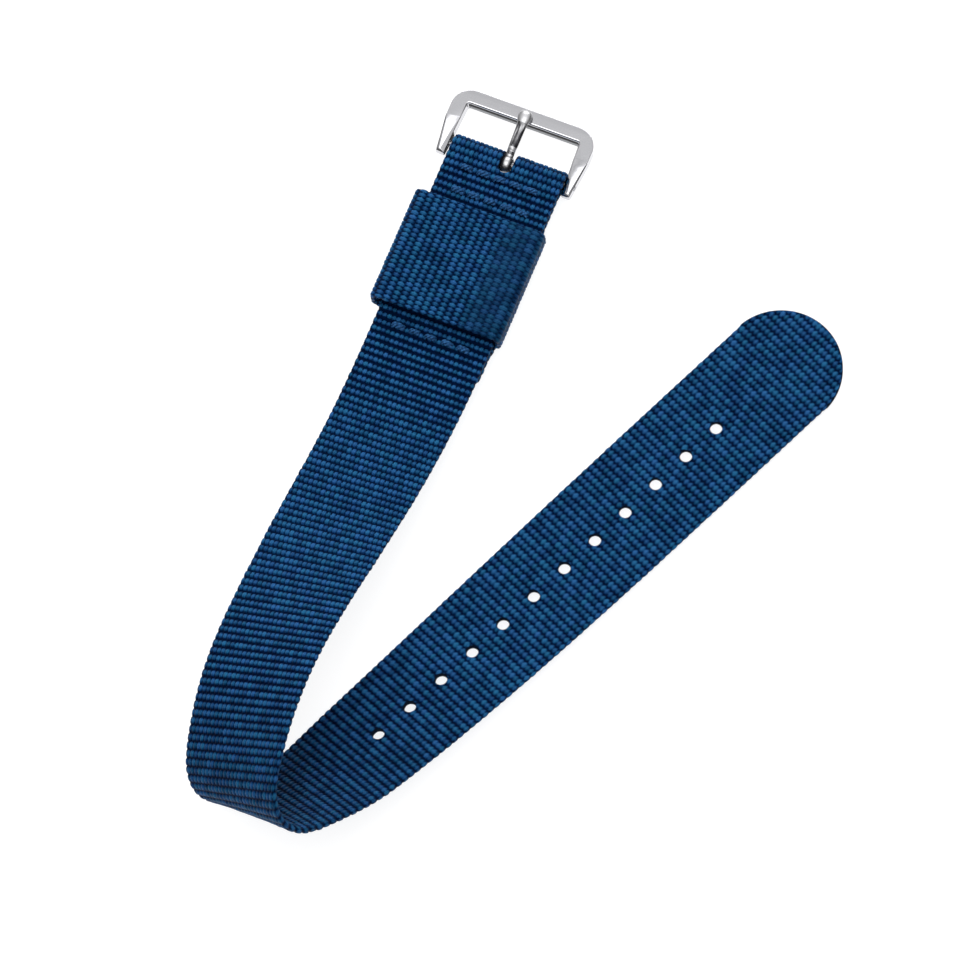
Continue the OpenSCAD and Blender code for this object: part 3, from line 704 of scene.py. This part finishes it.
# A flat made with a file: takes off what lies above the plane through three points, over a stroke
# that runs from a little before the first point to past the second.
def fileFlat(piece, first, second, third, before=0.4, after=3.0, wide=12.0):
    first, second, third = map(Vector, (first, second, third))
    stroke = (second - first).normalized()
    up = stroke.cross(third - first).normalized()
    up = up if up.z > 0 else -up
    length, high = (second - first).length + before + after, 4.0
    turn = Matrix((stroke, up.cross(stroke), up)).transposed().to_euler()
    place = first + stroke * (length / 2 - before) + up * high / 2
    combine(piece, startPiece("cube", "file", place, (length, wide, high), turn=turn, size=1), "DIFFERENCE")


def moveToBar(piece):
    makeActive(piece)
    piece.location = [v * mm for v in barAxis]
    bpy.ops.object.transform_apply(location=True, rotation=True, scale=True)


def dress(piece, *materials):
    piece.data.materials.clear()
    for material in materials:
        piece.data.materials.append(material)


# Stainless steel, cast and polished on a wheel: mirror bright, with faint lines where the wheel ran.
polishLook = {
    "steel": "#D4D4D8", "roughness": 0.12, "lineDepth": 0.3,
    "lineSpacing": 0.12,  # coarser than real polish so that it shows in a render
    "lineStretch": 0.02, "smudge": 260.0, "glossiest": 0.7, "dullest": 1.5,
}


def polishedSteel(name, lines, **changes):
    look = {**polishLook, **changes}
    material, tree, shader = newMaterial(name, Metallic=1.0, Roughness=look["roughness"],
                                         Base_Color=hexColour(look["steel"]))
    where = node(tree, "TexCoord").outputs["Object"]
    scale = [1000 / look["lineSpacing"] * (look["lineStretch"] if axis == lines else 1) for axis in "XYZ"]
    drawn = node(tree, "Mapping", {0: where, 3: scale})
    grain = node(tree, "TexNoise", {"Vector": drawn, "Scale": 0.25, "Detail": 2.0})
    smudge = node(tree, "TexNoise", {"Vector": where, "Scale": look["smudge"], "Detail": 3.0})
    gloss = node(tree, "MapRange", {0: smudge, 3: look["roughness"] * look["glossiest"],
                                    4: look["roughness"] * look["dullest"]})
    bump = node(tree, "Bump", {"Height": grain, "Distance": 0.00001, "Strength": look["lineDepth"]})
    connect(tree, shader, Roughness=gloss, Normal=bump)
    return material


frameSteel = polishedSteel("stainless_steel_wheel_polished", "Y")
prongSteel = polishedSteel("stainless_steel_barrel_polished", "X", steel="#C6C6C8", roughness=0.36)
barSteel = polishedSteel("stainless_steel_turned", "X", steel="#7C7C80", roughness=0.3, lineDepth=0.6)

# A dull steel for the crossbar's inner wall, its colour a painted dark reflection: darkest just under the
# polished land, paler further down.
paintedReflectionLook = {"dark": "#020203", "paleLow": "#C0C0C2", "darkAt": 0.05, "paleLowAt": -0.3, "most": 0.9, "grain": 0.06}
paintedReflectionSteel, tree, shader = newMaterial("stainless_steel_painted_dark_reflection", Roughness=0.6, Specular_IOR_Level=0.15)
where = node(tree, "TexCoord").outputs["Object"]
grain = node(tree, "TexNoise", {"Vector": where, "Scale": 4000.0, "Detail": 3.0})
darkAt, paleLowAt = ((barAxis[2] + paintedReflectionLook[edge]) * mm for edge in ("darkAt", "paleLowAt"))
fromLand = node(tree, "MapRange", {0: node(tree, "SeparateXYZ", [where]).outputs[2], 1: darkAt, 2: paleLowAt,
                                   3: 0.0, 4: paintedReflectionLook["most"]})
paleLow = node(tree, "Math MULTIPLY_ADD", [grain, paintedReflectionLook["grain"], fromLand])
ramp = node(tree, "ValToRGB", [paleLow], stops=[(0.0, paintedReflectionLook["dark"]), (1.0, paintedReflectionLook["paleLow"])])
bump = node(tree, "Bump", {"Height": grain, "Distance": 0.00002, "Strength": 0.4})
connect(tree, shader, Base_Color=ramp, Normal=bump)

# The shank and neck are ground lengthwise and satin; their dark streaks and darker tone are painted dark
# reflection.
groundSteelPaintedDark, tree, shader = newMaterial("stainless_steel_ground_painted_dark", Metallic=1.0, Roughness=0.3)
stretched = node(tree, "Mapping", {0: node(tree, "TexCoord").outputs["Object"], 3: (150.0, 2600.0, 2600.0)})
streaks = node(tree, "TexNoise", {"Vector": stretched, "Scale": 0.62, "Detail": 3.0, "Roughness": 0.6})
ramp = node(tree, "ValToRGB", [streaks], stops=[(0.36, "#2E2E32"), (0.64, "#B4B4B6")])
bump = node(tree, "Bump", {"Height": streaks, "Distance": 0.00003, "Strength": 0.5})
connect(tree, shader, Base_Color=ramp, Normal=bump)

# Beside the webbing the ears' inner sides are painted nearly black: painted shade and the dark reflection of
# the webbing.
earPaintedShadeSteel, tree, shader = newMaterial("stainless_steel_ear_painted_shade", Roughness=0.6,
                                     Base_Color=hexColour("#07090D"), Specular_IOR_Level=0.1)
print("metals made")


# Buckle frame: a half is cut from a block, then mirrored.
buckle = {
    "back": 2.1, "front": 9.95, "half": 12.5, "earHalf": 11.8, "widestAt": 4.8, "thick": 2.4,
    "aside": 0.25,  # it has slid along the bar
    "cornerRadius": 3.5, "bore": 0.92,
    "window": 7.45, "windowHalf": 9.85, "windowHalfBack": 10.48, "windowCorner": 0.35, "windowBehind": 3,
    "earRound": 0.9, "legBreak": 4.4, "legSlopes": [(0.6, 1.6), (0.6, 3.2), (5.3, 4.8)],  # length, degrees
    "facetFrom": 5.4, "innerFacet": 0.85, "innerDrop": 0.42,  # a facet's width and its drop for each mm of that
    "outerFacet": 0.42, "outerDrop": 0.75, "outerAhead": 0.3,
    "crownAt": 8.95, "crownSlope": 4.0, "innerBevel": 0.32, "edgeBevel": 0.13,
    # The crossbar's inner side is painted dark between the two heights below, as a painted reflection.
    "paintedBandFrom": -1.1, "paintedBandTo": 0.84,  # height of the dark band on the crossbar's inner side
    # The legs' inner sides behind the next value are painted dark: painted shade and dark reflection beside the
    # webbing.
    "earShadeFrom": 1.9,  # behind this the legs' inner sides are dark
}


def makeBuckle(b):
    depth, top, back, start = b["front"] + b["back"], b["thick"] / 2, -b["back"], b["legBreak"]
    behind, window = b["windowBehind"], b["window"]
    piece = startPiece("cube", "buckle_polished_frame", ((b["front"] + back) / 2, b["half"] / 2, 0),
                       (depth, b["half"], b["thick"]), size=1)
    editMode(True)
    roundEdges(piece, lambda m, w: abs(w.z) > 0.9 and m.x > 9 and m.y > 12, b["cornerRadius"], 18)
    splitAt(piece, lambda m, w: True, (b["widestAt"], 0, 0), (1, 0, 0))
    pick(piece, "verts", lambda m, w: m.x < -1 and m.y > 12)  # the ear's outer end
    bpy.ops.transform.translate(value=(0, (b["earHalf"] - b["half"]) * mm, 0))
    editMode(False)
    hole = startPiece("cube", "window", ((window - behind) / 2, b["windowHalf"] / 2 - 0.5, 0),
                      (window + behind, b["windowHalf"] + 1, 5), size=1)
    editMode(True)
    pick(hole, "verts", lambda m, w: m.x < 0 and m.y > 9)
    bpy.ops.transform.translate(value=(0, (b["windowHalfBack"] - b["windowHalf"]) * mm, 0))
    roundEdges(hole, lambda m, w: abs(w.z) > 0.9 and m.x > 7 and m.y > 9, b["windowCorner"], 4)
    editMode(False)
    combine(piece, hole, "DIFFERENCE")

    def innerAt(x):  # the leg's inner side
        return b["windowHalf"] + (b["windowHalfBack"] - b["windowHalf"]) * (window - x) / (window + behind)

    x, low = start, top
    for reach, slope in b["legSlopes"]:
        x2, low2 = x - reach, low - reach * math.tan(math.radians(slope))
        fileFlat(piece, (x, 12, low), (x2, 12, low2), (x, 10, low), after=8, wide=5)
        x, low = x2, low2
    editMode(True)
    roundEdges(piece, lambda m, w: abs(w.y) > 0.9 and m.x < -1.6, b["earRound"], 9)
    editMode(False)
    inner, outer, facet = b["innerFacet"], b["outerFacet"], b["facetFrom"]
    fileFlat(piece, (facet, innerAt(facet), top), (back, innerAt(back) + inner, low),
             (back, innerAt(back), low - b["innerDrop"] * inner))
    fileFlat(piece, (start + b["outerAhead"], b["half"], top), (back, b["earHalf"] - outer, low),
             (back, b["earHalf"], low - b["outerDrop"] * outer))
    drop = (b["front"] - b["crownAt"]) * math.tan(math.radians(b["crownSlope"]))
    fileFlat(piece, (b["crownAt"], -1, top), (b["crownAt"], 13, top), (b["front"], 0, top - drop))
    editMode(True)
    for height in (b["paintedBandFrom"], b["paintedBandTo"]):
        splitAt(piece, lambda m, w: w.x < -0.5 and abs(m.x - window) < 0.4, (0, 0, height), (0, 0, 1))
    splitAt(piece, lambda m, w: w.y < -0.8 and abs(m.y - innerAt(m.x)) < 0.4,
            (b["earShadeFrom"], 0, 0), (1, 0, 0))
    # The window's upper edge, ahead of where the facet starts.
    roundEdges(piece, lambda m, w: abs(w.z) < 0.3 and m.z > 1.18 and m.y > 0.01
               and facet - 0.1 < m.x < window + 0.02 and m.y < innerAt(m.x) + 0.02, b["innerBevel"], 3)
    pick(piece, "faces", lambda m, w: abs(m.y) < 0.001)
    bpy.ops.mesh.delete(type="FACE")
    editMode(False)
    addModifier(piece, "MIRROR", use_axis=(False, True, False), merge_threshold=0.00002)
    combine(piece, startRod("bore", 0, b["bore"], 30, 28), "DIFFERENCE")
    addModifier(piece, "BEVEL", limit_method="ANGLE", angle_limit=math.radians(33), width=b["edgeBevel"] * mm,
                segments=3, use_clamp_overlap=False)
    piece.data.transform(Matrix.Translation((0, b["aside"] * mm, 0)))
    dress(piece, frameSteel, paintedReflectionSteel, earPaintedShadeSteel)
    for face in piece.data.polygons:
        middle, way = face.center / mm, face.normal
        onWall = way.x < -0.8 and abs(middle.x - window) < 0.5
        # Beside the webbing the legs' inner sides take the painted shade.
        nearWeb = middle.x < b["earShadeFrom"] and abs(middle.y - b["aside"]) < b["windowHalfBack"] + 0.2
        # The crossbar's inner wall between these heights gets the painted dark reflection.
        onPaintedBand = onWall and b["paintedBandFrom"] < middle.z < b["paintedBandTo"]
        face.material_index = 1 if onPaintedBand else 2 if nearWeb and abs(way.y) > 0.8 else 0
    bpy.ops.object.shade_smooth_by_angle(angle=math.radians(32))
    addModifier(piece, "WEIGHTED_NORMAL", keep_sharp=True)
    moveToBar(piece)
    return piece


buckleFrame = makeBuckle(buckle)
finishPiece(buckleFrame, "buckle", "buckle_frame")
print("buckle frame", len(buckleFrame.data.polygons), "faces")


# Prong: a knuckle rolled round the bar, a drawn-in neck with a bump, a shank and a round head.
prong = {
    "aside": 0.25,
    "knuckleRadius": 1.5, "knuckleWidth": 1.77, "knuckleRound": 0.75, "bore": 1.62,
    "sections": [  # distance from the bar, width, height, height of the middle
        (0.7, 1.45, 1.1, 0.80), (1.35, 1.42, 1.0, 0.95), (1.9, 1.42, 0.9, 1.05), (2.2, 1.45, 1.1, 1.2),
        (2.5, 1.52, 1.2, 1.26), (2.8, 1.5, 1.0, 1.2), (3.4, 1.54, 0.92, 1.24), (4.6, 1.58, 0.94, 1.42),
        (5.6, 1.62, 0.95, 1.56), (6.4, 1.66, 0.98, 1.7), (6.8, 1.8, 1.04, 1.79), (7.2, 2.1, 1.16, 1.87),
        (7.7, 2.36, 1.28, 1.93), (8.4, 2.42, 1.3, 1.95), (8.9, 2.12, 1.16, 1.9), (9.2, 1.6, 0.9, 1.86),
        (9.36, 0.8, 0.44, 1.84),
    ],
    "groove": 0.16, "grooveSpan": (3, 6.6), "grooveSide": (0.14, 0.45),
    # Where it is ground the steel is also painted darker, as painted dark reflection.
    "groundAndDarkened": [(1.25, 1.95), (2.75, 7.1)],  # where it is ground and not polished
}


def makeProng(p):
    x, wide, high, z = p["sections"][0]
    aside = p["aside"]
    piece = startRing("prong_polished", (x, aside, z), high, wide, 20, turn=(0, math.pi / 2, 0))
    for x2, wide2, high2, z2 in p["sections"][1:]:
        bpy.ops.mesh.extrude_region_move(TRANSFORM_OT_translate={"value": ((x2 - x) * mm, 0, (z2 - z) * mm)})
        bpy.ops.transform.resize(value=(1, wide2 / wide, high2 / high),
                                 center_override=(x2 * mm, aside * mm, z2 * mm))
        x, wide, high, z = x2, wide2, high2, z2
    # Two shallow grooves along the top of the shank.
    (first, last), (near, far) = p["grooveSpan"], p["grooveSide"]
    for side in (-1, 1):
        pick(piece, "verts", lambda m, w: first < m.x < last and m.z > 0.8 and w.z > 0.5
             and near < side * (m.y - aside) < far)
        bpy.ops.transform.translate(value=(0, 0, -p["groove"] * mm))
    editMode(False)
    addModifier(piece, "SUBSURF", levels=1, render_levels=1)
    knuckle = startRod("knuckle", aside, p["knuckleRadius"] * 2, p["knuckleWidth"], 40)
    editMode(True)
    roundEdges(knuckle, lambda m, w: abs(w.y) < 0.1, p["knuckleRound"], 6)
    editMode(False)
    combine(piece, knuckle, "UNION")
    combine(piece, startRod("bore", aside, p["bore"], 5, 32), "DIFFERENCE")
    dress(piece, prongSteel, groundSteelPaintedDark)
    for face in piece.data.polygons:
        x = face.center.x / mm
        face.material_index = int(any(start < x < end for start, end in p["groundAndDarkened"]))
    bpy.ops.object.shade_smooth_by_angle(angle=math.radians(40))
    moveToBar(piece)
    return piece


prongPiece = makeProng(prong)
finishPiece(prongPiece, "prong", "prong")
print("prong", len(prongPiece.data.polygons), "faces")

for name in ("bar_tube", "bar_tip_left", "bar_tip_right"):
    dress(nodes[name], barSteel)


# Coil spring inside the bar, made as one half for each tip.
spring = {
    "coil": 0.39, "wire": 0.2, "turns": 6, "steps": 12, "reach": 4.33,  # of the wire's middle
    "keep": 0.75,  # length left with the tip right in
}


def makeSpringHalf(sp):
    half = startRing("bar_spring_left_half", (sp["coil"], 0, 0), sp["wire"], sp["wire"], 8)
    count = sp["turns"] * sp["steps"]
    pitch = sp["reach"] / count
    for i in range(1, count + 1):
        bpy.ops.mesh.extrude_region_move(TRANSFORM_OT_translate={"value": (0, pitch * mm, 0)})
        bpy.ops.transform.rotate(value=math.tau / sp["steps"], orient_axis="Y",
                                 center_override=(0, pitch * i * mm, 0))
    pointOutwards()
    editMode(False)
    bpy.ops.object.shade_smooth_by_angle(angle=math.radians(50))
    return half


leftHalf = makeSpringHalf(spring)
rightHalf = addObject("bar_spring_right_half", leftHalf.data.copy())
rightHalf.data.name = rightHalf.name
rightHalf.data.transform(Matrix.Rotation(math.pi, 4, "X"))
for half, joint in ((leftHalf, "tip_left_slide"), (rightHalf, "tip_right_slide")):
    dress(half, barSteel)
    moveToBar(half)
    finishPiece(half, "bar", "bar_spring")
    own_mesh(half)
print("bar spring", len(leftHalf.data.polygons), "faces a half")


# Sewing thread: three bonded plies twisted together, so a stitch shows slanted lines.
threadLook = {
    "thread": "#3C74B0", "shadow": "#031634", "glint": "#A8C8EC", "roughness": 0.55, "fibreSpacing": 0.09,
}
bondedThread, tree, shader = newMaterial("bonded_nylon_thread", Roughness=threadLook["roughness"],
                                         Specular_IOR_Level=0.18, Specular_Tint=hexColour(threadLook["glint"]))
fibres = node(tree, "TexNoise", {"Vector": node(tree, "TexCoord").outputs["Object"], "Detail": 4.0,
                                 "Scale": 1000 / threadLook["fibreSpacing"] / 4, "Roughness": 0.7})
ramp = node(tree, "ValToRGB", [fibres], stops=[(0.32, threadLook["shadow"]), (0.62, threadLook["thread"])])
bump = node(tree, "Bump", {"Height": fibres, "Distance": 0.00008, "Strength": 0.7})
connect(tree, shader, Base_Color=ramp, Normal=bump)

stitch = {
    "plies": 3, "ply": 0.5, "spread": 0.29, "rings": 14, "turns": 1.0,
    "length": 2.15, "rise": 0.22, "dive": 0.5,
    "count": 5, "pitch": 2.85, "proud": 0.06,
    "stray": 0.05, "lean": 0.09, "grow": 0.06,  # how much stitches differ in place, angle and size
    "rows": {"stitches_by_bar": 3.7, "stitches_above_keeper": 7.85, "stitches_below_keeper": 33.3},
}


# One ply: a ring extruded along Y while it turns about the thread's middle, both ends diving into
# the webbing.
def makePly(st, start):
    step = st["length"] / st["rings"]
    depthAt = lambda i: st["rise"] - (st["rise"] + st["dive"]) * abs(2 * i / st["rings"] - 1) ** 4
    place = (st["spread"] * math.cos(start), -st["length"] / 2, depthAt(0) + st["spread"] * math.sin(start))
    ply = startRing("ply", place, st["ply"], st["ply"], 7, turn=(-math.pi / 2, 0, 0))
    for i in range(1, st["rings"] + 1):
        sunk = (depthAt(i) - depthAt(i - 1)) * mm
        bpy.ops.mesh.extrude_region_move(TRANSFORM_OT_translate={"value": (0, step * mm, sunk)})
        bpy.ops.transform.rotate(value=math.tau * st["turns"] / st["rings"], orient_axis="Y",
                                 center_override=(0, (i * step - st["length"] / 2) * mm, depthAt(i) * mm))
    editMode(False)
    return ply


def joinAll(pieces):
    makeActive(pieces[0])
    for piece in pieces:
        piece.select_set(True)
    bpy.ops.object.join()
    return bpy.context.object


oneStitch = joinAll([makePly(stitch, math.tau * k / stitch["plies"]) for k in range(stitch["plies"])])
editMode(True)
pointOutwards()
editMode(False)
bpy.ops.object.shade_smooth()
dice = np.random.default_rng(7)
stitchRows = []
for name, s in stitch["rows"].items():
    copies = []
    for under in (False, True):
        middle, along, left, down = (v[0] for v in onBand(np.array([s])))
        out = down if under else -down
        toUnderside = strap["thick"] * 1.5 + float(layerGap(np.array(s)))
        face = middle + down * toUnderside if under else middle - down * strap["thick"] / 2
        for i in range(stitch["count"]):
            fromMiddle = (i - (stitch["count"] - 1) / 2) * stitch["pitch"] + dice.normal(0, stitch["stray"])
            place = face + barAxis + left * fromMiddle + out * stitch["proud"]
            copy = addObject("stitch", oneStitch.data.copy())
            turned = Matrix.Rotation(dice.normal(0, stitch["lean"]), 4, "Z")
            lean = turned @ Matrix.Scale(dice.normal(1, stitch["grow"]), 4)
            axes = Matrix((np.cross(left, out), left, out)).transposed().to_4x4()
            axes.translation = Vector(place) * mm
            copy.data.transform(axes @ lean)
            copies.append(copy)
    row = joinAll(copies)
    row.name = row.data.name = name
    dress(row, bondedThread)
    stitchRows.append(row)
bpy.data.objects.remove(oneStitch)
for row, solid in zip(stitchRows, ("stitch_row_bar", "stitch_row_upper", "stitch_row_lower")):
    finishPiece(row, "strap", solid)
    print(row.name, len(row.data.polygons), "faces")
# Camera, floor and light: the camera as fitted to the photograph, its focal length in pixels
view = {
    "right": (0.37840, -0.92389, -0.05688), "up": (0.88115, 0.34071, 0.32786),
    "back": (-0.28353, -0.17419, 0.94301),
    "place": (-0.29949, -0.17641, 1.00927), "focal": 6621.96, "pixels": 960, "sensor": 36.0,
}
cameraData = bpy.data.cameras.new("camera")
cameraData.sensor_width = view["sensor"]
cameraData.lens = view["focal"] / view["pixels"] * view["sensor"]
cameraData.clip_end = 10
camera = addObject("camera", cameraData)
turned = Matrix((view["right"], view["up"], view["back"])).transposed().to_4x4()
turned.translation = Vector(view["place"])
camera.matrix_world = turned
bpy.context.scene.camera = camera

# A matt white table that glows a little, so that it stays as pale as in the photograph.
bpy.ops.mesh.primitive_plane_add(size=6, location=(0, 0, -0.0002))
floor = bpy.context.object
floor.name = "floor"
floorPaint, tree, shader = newMaterial("floor_white", Roughness=0.7, Base_Color=hexColour("#9A9A9A"),
                                       Emission_Color=hexColour("#FFFFFF"), Emission_Strength=0.85)
floor.data.materials.append(floorPaint)

# Studio: dark low walls, a grey ceiling, a bright panel overhead, and a white and a black card.
studio = {
    "levels": [(0.0, "#050505"), (0.12, "#1C1C1C"), (0.35, "#646464"), (0.7, "#AAAAAA"), (1.0, "#F0F0F0")],
    "brighterTo": (0.3, -0.35, 0.0),
    # Where each lies, the degrees from there at which it ends and is full, and its strength.
    "panel": ((-0.18, 0.05, 0.98), (27, 19), 2.2),
    "card": ((0.28, 0.79, 0.53), (32, 16), 0.4),  # by the buckle
    "flag": ((0.28, -0.86, 0.43), (25, 10), 0.92),  # the black one, across from it
    "strength": 0.95,
}
world = bpy.data.worlds.new("studio")
bpy.context.scene.world = world
world.use_nodes = True
sky = world.node_tree
way = node(sky, "TexCoord").outputs["Generated"]
ramp = node(sky, "ValToRGB", [node(sky, "SeparateXYZ", [way]).outputs[2]], stops=studio["levels"])


def skyPatch(towards, edge, brightness):
    angle = node(sky, "VectorMath DOT_PRODUCT", [way, Vector(towards).normalized()]).outputs[1]
    outside, inside = (math.cos(math.radians(a)) for a in edge)
    return node(sky, "MapRange", {0: angle, 1: outside, 2: inside, 3: 0.0, 4: brightness},
                interpolation_type="SMOOTHSTEP")


bright = node(sky, "Math ADD", [skyPatch(*studio["panel"]), skyPatch(*studio["card"])])
shade = node(sky, "Math SUBTRACT", [1.0, skyPatch(*studio["flag"])])
lean = node(sky, "VectorMath DOT_PRODUCT", [way, studio["brighterTo"]]).outputs[1]
lean = node(sky, "Math MULTIPLY", [node(sky, "Math ADD", [lean, 1.0]), shade])
room = node(sky, "VectorMath SCALE", {0: ramp, "Scale": lean})
connect(sky, sky.nodes["Background"], Color=node(sky, "VectorMath ADD", [room, bright]))
sky.nodes["Background"].inputs["Strength"].default_value = studio["strength"]

softbox = {"place": (0.95, 0.2, 0.62), "size": (0.9, 0.7), "power": 6}
lamp = bpy.data.lights.new("softbox_key", "AREA")
lamp.shape = "RECTANGLE"
lamp.size, lamp.size_y = softbox["size"]
lamp.energy = softbox["power"]
key = addObject("softbox_key", lamp)
key.location = softbox["place"]
key.rotation_euler = (-Vector(softbox["place"])).to_track_quat("-Z", "Y").to_euler()  # faces the strap
bpy.context.scene.view_settings.view_transform = "Standard"
print("camera, floor and light placed")
